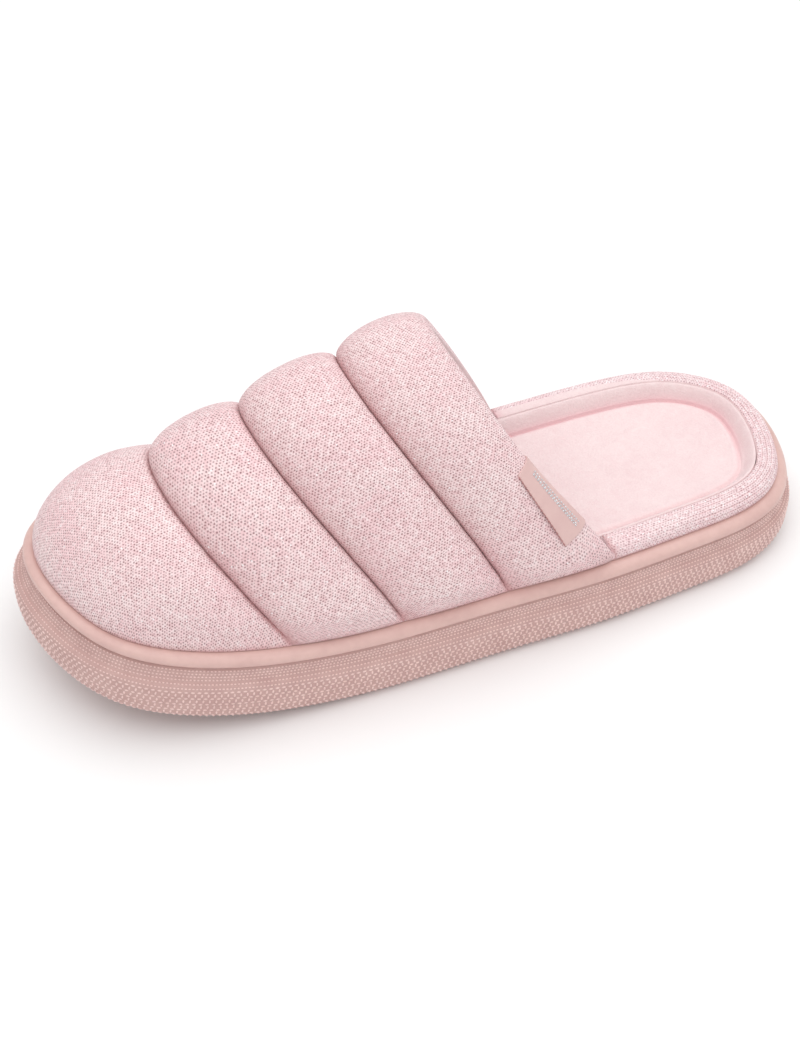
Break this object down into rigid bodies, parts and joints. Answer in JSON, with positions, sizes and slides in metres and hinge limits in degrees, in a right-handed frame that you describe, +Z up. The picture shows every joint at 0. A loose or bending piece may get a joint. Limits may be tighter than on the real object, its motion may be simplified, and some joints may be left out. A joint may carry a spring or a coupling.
{
  "type": "scuff slipper",
  "caption": "Backless house slipper for the left foot: quilted knit vamp, padded heel rim, plush footbed and moulded sole with a welt strip.",
  "frame": {"origin": "on the floor under the middle of the slipper's length and width", "axes": "+X towards the toe, +Y towards the outer side of the foot, +Z up"},
  "size_m": [0.2734, 0.1, 0.102],
  "materials": {
    "outsole": "moulded foam rubber, matt, with a fine brick-like grain on the side",
    "welt": "smooth coated strip, satin",
    "footbed": "short plush pile",
    "upper": "heathered fine knit over foam",
    "heel_rim": "heathered fine knit with a faint metallic thread",
    "side_tab": "smooth imitation leather, satin"
  },
  "bodies": {
    "root": {"outsole": "outsole", "welt": "welt", "footbed": "footbed", "upper": "upper", "heel_rim": "heel_rim", "side_tab": "side_tab"}
  },
  "joints": []
}
